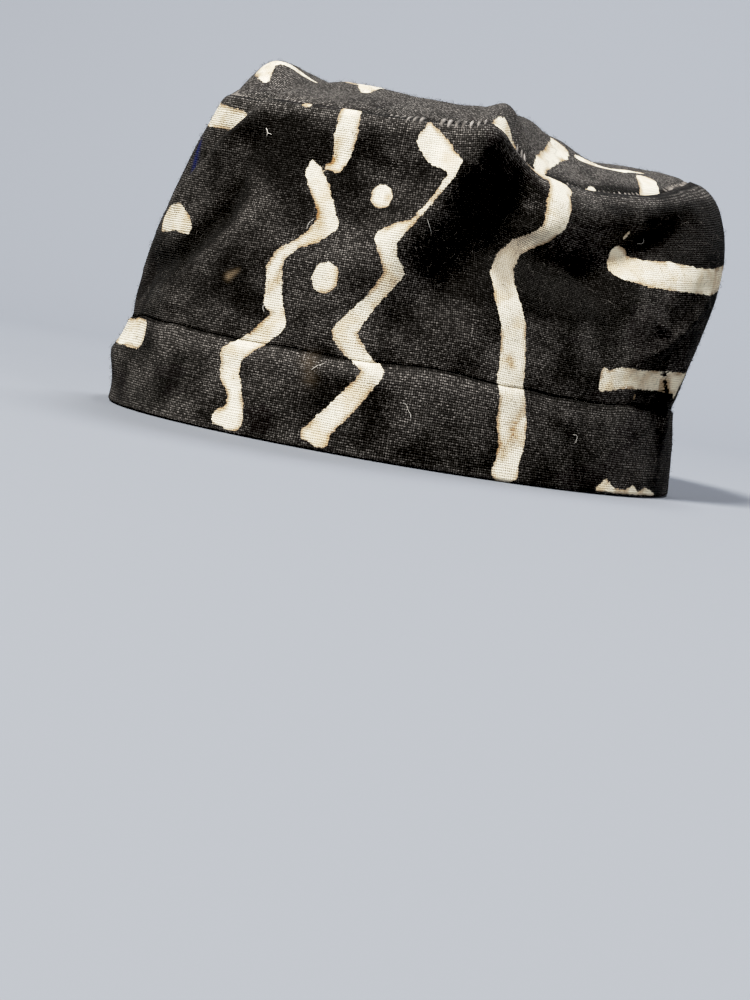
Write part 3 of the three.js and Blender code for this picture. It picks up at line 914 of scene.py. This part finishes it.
def fibres_piece(name, material):
    """Loose fibre ends that stand off the cloth."""
    rng = np.random.default_rng(SEED + 21)
    a, b, high = fibre_tracks(rng, FIBRES_SIDE)
    across = rng.uniform(-ROUND / 2, ROUND / 2, (FIBRES_SIDE, 1)) + a
    up = np.clip(rng.uniform(4.0, CLOTH_TALL - 2.0, (FIBRES_SIDE, 1)) + b, 2.5, CLOTH_TALL - 1.0)
    side_paths, side_normals = side_place(across, up, high)
    a, b, high = fibre_tracks(rng, FIBRES_CROWN)
    out = np.sqrt(rng.uniform(0.0, 0.80, (FIBRES_CROWN, 1)))
    turn = rng.uniform(0, 2 * math.pi, (FIBRES_CROWN, 1))
    x = RIM_HALF_WIDTH * CROWN_SHARE * out * np.cos(turn) + a
    y = RIM_HALF_LENGTH * CROWN_SHARE * out * np.sin(turn) + b
    crown_paths, crown_normals = crown_place(x, y, high)
    paths = np.concatenate([side_paths, crown_paths])
    normals = np.concatenate([side_normals, crown_normals])
    radii = FIBRE_THICK / 2 * rng.uniform(0.6, 1.2, (len(paths), 1)) * np.linspace(1.0, 0.5, FIBRE_STEPS)
    return threads_piece(name, paths, normals, radii, 3, material)


def lint_piece(name, material):
    """A few pale curled lint threads caught on the cloth, as the table places them."""
    rng = np.random.default_rng(SEED + 22)
    paths, normals, radii = [], [], []
    share = np.linspace(0.0, 1.0, LINT_STEPS)
    for _, across, up, long, heading, thick in LINT:
        turn = math.radians(heading) + np.cumsum(rng.normal(0, 0.35, LINT_STEPS))
        a = across + np.cumsum(np.cos(turn)) * long / LINT_STEPS
        b = up + np.cumsum(np.sin(turn)) * long / LINT_STEPS
        path, normal = side_place(a, b, 0.12 + 0.3 * np.sin(math.pi * share))
        paths.append(path)
        normals.append(normal)
        radii.append(thick / 2 * (1.0 - 0.5 * share))
    return threads_piece(name, np.array(paths), np.array(normals), np.array(radii), 5, material)


def set_inputs(node, values):
    """Constant values on a node's own sockets."""
    for name, value in values.items():
        node.inputs[name].default_value = value


class Graph:
    """Short ways to add shader nodes and join them."""

    def __init__(self, material):
        material.use_nodes = True
        self.nodes, self.links = material.node_tree.nodes, material.node_tree.links
        self.shader = self.nodes["Principled BSDF"]

    def put(self, socket, value):
        if isinstance(value, bpy.types.NodeSocket):
            self.links.new(value, socket)
        else:
            socket.default_value = value

    def math(self, operation, *values, clamp=False):
        node = self.nodes.new("ShaderNodeMath")
        node.operation = operation
        node.use_clamp = clamp
        for socket, value in zip(node.inputs, values):
            self.put(socket, value)
        return node.outputs[0]

    def times(self, a, b, clamp=False):
        return self.math("MULTIPLY", a, b, clamp=clamp)

    def plus(self, a, b, clamp=False):
        return self.math("ADD", a, b, clamp=clamp)

    def ramp(self, value, low, high, to_low=0.0, to_high=1.0):
        node = self.nodes.new("ShaderNodeMapRange")
        node.interpolation_type = "SMOOTHSTEP"
        names = ("Value", "From Min", "From Max", "To Min", "To Max")
        for name, number in zip(names, (value, low, high, to_low, to_high)):
            self.put(node.inputs[name], number)
        return node.outputs["Result"]

    def mix(self, factor, a, b):
        node = self.nodes.new("ShaderNodeMix")
        node.data_type = "RGBA"
        node.clamp_factor = True
        for socket, value in ((0, factor), (6, a), (7, b)):
            self.put(node.inputs[socket], value)
        return node.outputs[2]

    def attribute(self, name):
        node = self.nodes.new("ShaderNodeAttribute")
        node.attribute_name = name
        return node.outputs["Fac"]

    def join(self, x, y, z):
        node = self.nodes.new("ShaderNodeCombineXYZ")
        for socket, value in zip(node.inputs, (x, y, z)):
            self.put(socket, value)
        return node.outputs[0]

    def noise_at(self, place, scale, detail):
        node = self.nodes.new("ShaderNodeTexNoise")
        set_inputs(node, {"Scale": scale, "Detail": detail})
        self.put(node.inputs["Vector"], place)
        return node.outputs[0]

    def noise(self, x, y, per_x, per_y, seed, detail=1.0):
        """Noise from 0 to 1 over cloth mm, with per_x and per_y bumps to a mm."""
        place = self.join(self.times(x, per_x), self.times(y, per_y), seed)
        return self.noise_at(place, 1.0, detail)

    def centred(self, value, size):
        return self.times(self.math("SUBTRACT", value, 0.5), size)

    def relief(self, height, strength, deep):
        """Bump on the shader, deep in mm."""
        bump = self.nodes.new("ShaderNodeBump")
        set_inputs(bump, {"Strength": strength, "Distance": deep * MM})
        self.put(bump.inputs["Height"], height)
        self.put(self.shader.inputs["Normal"], bump.outputs[0])


def cotton_material(name):
    """Plain-woven cotton: dark dye, undyed marks with thread-stepped edges, brown bleed and stains, and
    painted light and shade.
    """
    material = bpy.data.materials.new(name)
    g = Graph(material)
    cloth = g.nodes.new("ShaderNodeUVMap")
    cloth.uv_map = "cloth"
    parts = g.nodes.new("ShaderNodeSeparateXYZ")
    g.put(parts.inputs[0], cloth.outputs[0])
    u, v = parts.outputs[0], parts.outputs[1]

    # Threads that wander and vary in thickness
    wander_u = g.centred(g.noise(u, v, 0.30, 0.05, 1.7, 2.0), 1.1)
    wander_v = g.centred(g.noise(u, v, 0.05, 0.30, 5.1, 2.0), 1.1)
    along_u = g.math("DIVIDE", g.plus(u, wander_u), THREAD)
    along_v = g.math("DIVIDE", g.plus(v, wander_v), THREAD)
    wave_u = g.math("COSINE", g.times(along_u, math.pi))
    wave_v = g.math("COSINE", g.times(along_v, math.pi))
    over = g.times(wave_u, wave_v)
    cell_u, cell_v = g.math("ROUND", along_u), g.math("ROUND", along_v)
    dome_u, dome_v = g.math("ABSOLUTE", wave_u), g.math("ABSOLUTE", wave_v)
    weft = g.times(dome_v, g.math("MULTIPLY_ADD", over, 0.32, 0.68))
    warp = g.times(dome_u, g.math("MULTIPLY_ADD", over, -0.34, 0.60))
    height = g.math("MAXIMUM", weft, warp)
    knot = g.nodes.new("ShaderNodeTexWhiteNoise")
    g.put(knot.inputs["Vector"], g.join(cell_u, cell_v, 2.0))
    uneven = knot.outputs["Value"]
    rows = g.noise(u, g.times(cell_v, THREAD), 0.22, 1.5, 8.3)
    fuzz = g.noise(u, v, 1.5, 1.9, 3.9, 3.0)

    # Where the dye stopped, stepped by the threads
    ragged = g.plus(g.centred(uneven, 0.34), g.centred(g.noise(u, v, 0.55, 0.75, 6.6, 2.0), 0.9))
    depth = g.plus(g.attribute("undyed"), ragged)
    pale = g.ramp(depth, -0.12, 0.12)
    bleed_patches = g.ramp(g.noise(u, v, 0.13, 0.11, 9.2, 2.0), 0.42, 0.60)
    bleed_ring = g.ramp(depth, 0.1, 1.7, 1.0, 0.0)
    bleed = g.times(g.times(bleed_ring, bleed_patches), 0.75)
    stain = g.times(g.attribute("stain"), g.math("MULTIPLY_ADD", uneven, 0.6, 0.75))
    brown = g.plus(bleed, stain, clamp=True)

    # Dark cloth: near-black in the weave's pits and in painted shade, paler thread tops where worn and
    # where painted light falls
    patches = g.noise(u, v, 0.07, 0.07, 4.4, 3.0)
    shade = g.attribute("shade")
    wear_and_painted_light = g.ramp(g.plus(patches, shade), 0.30, 0.80, 0.10, 1.0)
    weft_tops = g.times(g.ramp(weft, 0.50, 0.92), g.ramp(uneven, 0.15, 0.85))
    warp_tops = g.times(g.ramp(warp, 0.50, 0.90), g.ramp(uneven, 0.95, 0.20))
    tops = g.math("MAXIMUM", weft_tops, g.times(warp_tops, 0.65))
    tops = g.times(g.times(tops, wear_and_painted_light), g.ramp(fuzz, 0.34, 0.64, 0.1, 1.55))
    dark = g.mix(tops, g.mix(g.times(height, wear_and_painted_light), PIT_AND_SHADE_DYE, DYE), WORN_AND_LIT_TOPS)
    dark = g.mix(g.attribute("smudge"), dark, TAN)
    dark = g.mix(g.attribute("navy"), dark, NAVY_DYE)

    # Undyed cloth: cream threads, aged and stained, darkened by painted shadow in the hollows and seams,
    # with brown pits between them
    cream = g.mix(rows, CREAM, PALE_CREAM)
    age = g.ramp(g.noise(u, v, 0.17, 0.15, 2.2, 3.0), 0.42, 0.70, 0.0, 0.8)
    cream = g.mix(age, cream, AGED_CREAM)
    cream = g.mix(brown, cream, BROWN)
    painted_shadow = g.ramp(g.times(shade, -1.0), 0.15, 0.75, 0.0, 0.86)
    cream = g.mix(painted_shadow, cream, SHADOWED_CREAM)
    pits = g.ramp(g.math("MAXIMUM", dome_u, dome_v), 0.30, 0.90, 0.75, 0.0)
    pits = g.times(pits, g.math("MULTIPLY_ADD", uneven, 0.6, 0.4), clamp=True)
    cream = g.mix(pits, cream, PIT_BROWN)

    colour = g.mix(g.attribute("inside"), g.mix(pale, dark, cream), INSIDE_DYE)
    g.put(g.shader.inputs["Base Color"], colour)
    set_inputs(g.shader, {"Roughness": 0.92, "Specular IOR Level": 0.03})
    set_inputs(g.shader, {"Sheen Weight": 0.014, "Sheen Roughness": 0.45, "Sheen Tint": SHEEN_TINT})
    lumpy = g.plus(height, g.centred(fuzz, 0.45))
    g.relief(g.plus(lumpy, g.centred(uneven, 0.25)), 0.9, 0.34)
    return material


def thread_material(name, colour, deep):
    """Spun cotton thread: its colour varies from place to place, with a fine twist in its relief."""
    material = bpy.data.materials.new(name)
    g = Graph(material)
    place = g.nodes.new("ShaderNodeTexCoord").outputs["Object"]
    tint = g.ramp(g.noise_at(place, 260.0, 2.0), 0.35, 0.65)
    g.put(g.shader.inputs["Base Color"], g.mix(tint, deep, colour))
    set_inputs(g.shader, {"Roughness": 0.9, "Specular IOR Level": 0.15})
    g.relief(g.noise_at(place, 4200.0, 2.0), 0.6, 0.08)
    return material


def add_stage():
    """A pale floor that bends up into a backdrop, turned to face the camera."""
    width, near, far, tall, bend = 6.0, -3.0, 1.6, 3.2, 0.9
    profile = [(near, 0.0), (far - bend, 0.0)]
    for k in range(1, 24):
        a = math.radians(90.0 * k / 24)
        profile.append((far - bend + bend * math.sin(a), bend - bend * math.cos(a)))
    profile.append((far, tall))
    turn = Matrix.Rotation(math.radians(CAMERA_AZIMUTH), 4, "Z")
    verts = [turn @ Vector((x, y, z - FLOOR_BELOW)) for y, z in profile for x in (-width / 2, width / 2)]
    faces = [(2 * k, 2 * k + 1, 2 * k + 3, 2 * k + 2) for k in range(len(profile) - 1)]
    mesh = bpy.data.meshes.new("floor")
    mesh.from_pydata(verts, [], faces)
    mesh.polygons.foreach_set("use_smooth", [True] * len(mesh.polygons))
    paint = bpy.data.materials.new("pale_backdrop")
    paint.use_nodes = True
    shader = paint.node_tree.nodes["Principled BSDF"]
    set_inputs(shader, {"Base Color": BACKDROP, "Roughness": 0.9, "Specular IOR Level": 0.1})
    mesh.materials.append(paint)
    floor = bpy.data.objects.new("floor", mesh)
    floor.visible_diffuse = False
    bpy.context.scene.collection.objects.link(floor)


def add_lights():
    """The soft lamps and the pale room round them."""
    world = bpy.data.worlds.new("studio")
    bpy.context.scene.world = world
    world.use_nodes = True
    set_inputs(world.node_tree.nodes["Background"], {"Color": ROOM, "Strength": ROOM_STRENGTH})
    turn = Matrix.Rotation(math.radians(CAMERA_AZIMUTH), 4, "Z")
    for name, place, size, power, colour in LIGHTS:
        lamp = bpy.data.lights.new(name, "AREA")
        lamp.size = size
        lamp.energy = power
        lamp.color = colour
        holder = bpy.data.objects.new(name, lamp)
        holder.location = turn @ Vector(place)
        ray = Vector(LAMPS_AIM) - turn @ Vector(place)
        holder.rotation_euler = ray.to_track_quat("-Z", "Y").to_euler()
        bpy.context.scene.collection.objects.link(holder)


def set_tone():
    """A photograph's response to light: open shadows and a soft shoulder."""
    view = bpy.context.scene.view_settings
    view.view_transform = "Standard"
    view.use_curve_mapping = True
    tone = view.curve_mapping
    tone.black_level = [BLACK_LEVEL] * 3
    tone.white_level = [WHITE_LEVEL] * 3
    shoulder = tone.curves[3]
    for light, shown in TONE:
        shoulder.points.new(light, shown)
    shoulder.points[-1].location = (1.0, TONE_END)
    tone.update()


def add_camera():
    """The photograph's camera: its place, its roll and where the rim's middle falls in the frame."""
    a = math.radians(CAMERA_AZIMUTH)
    eye = Vector((math.sin(a) * CAMERA_FAR, -math.cos(a) * CAMERA_FAR, CAMERA_HIGH))
    ahead = -eye.normalized()
    level = ahead.cross(Vector((0, 0, 1))).normalized()
    upright = level.cross(ahead)
    roll = math.radians(CAMERA_ROLL)
    right = math.cos(roll) * level + math.sin(roll) * upright
    up = math.cos(roll) * upright - math.sin(roll) * level
    aside = (RIM_AT_PX[0] - FRAME_PX[0] / 2) / FOCAL_PX
    above = (FRAME_PX[1] / 2 - RIM_AT_PX[1]) / FOCAL_PX
    ahead = (ahead - aside * right - above * up).normalized()
    right = (right - ahead * right.dot(ahead)).normalized()
    up = right.cross(ahead)
    data = bpy.data.cameras.new("camera")
    data.sensor_width = SENSOR
    data.lens = FOCAL_PX / FRAME_PX[1] * SENSOR
    data.clip_start = 0.01
    camera = bpy.data.objects.new("camera", data)
    turned = Matrix((right, up, -ahead)).transposed().to_4x4()
    camera.matrix_world = Matrix.Translation((eye + Vector((SIDE_SHIFT, 0, 0))) * MM) @ turned
    bpy.context.scene.collection.objects.link(camera)
    bpy.context.scene.camera = camera


cotton = cotton_material("painted_cotton")
below_seam, above_seam = BAND_TALL - HAIRLINE / 2, BAND_TALL + HAIRLINE / 2
band_outer = np.concatenate([HEM_UPS, np.linspace(3.4, below_seam, BAND_ROWS)])
band_inner = np.linspace(below_seam, 1.0, 8)
hem_band = tube_piece("hem_band", band_outer, band_inner, True, cotton)
wall_outer = np.linspace(above_seam, CLOTH_TALL, WALL_ROWS)
wall_inner = np.linspace(CLOTH_TALL, above_seam, INNER_ROWS)
wall_cloth = tube_piece("wall_cloth", wall_outer, wall_inner, False, cotton)
crown_cloth = crown_piece("crown_cloth", cotton)

for piece, node in ((hem_band, "brow_band"), (wall_cloth, "side_wall"), (crown_cloth, "crown_panel")):
    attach(piece, "root")
    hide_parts(node)

crown_stitches = stitches_piece("crown_stitches", thread_material("stitch_thread", *STITCH_COLOURS))
cloth_fibres = fibres_piece("cloth_fibres", thread_material("loose_fibre", *FIBRE_COLOURS))
caught_lint = lint_piece("caught_lint", thread_material("lint_thread", *LINT_COLOURS))
for piece in (crown_stitches, cloth_fibres, caught_lint):
    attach(piece, "root")

add_stage()
add_lights()
set_tone()
add_camera()
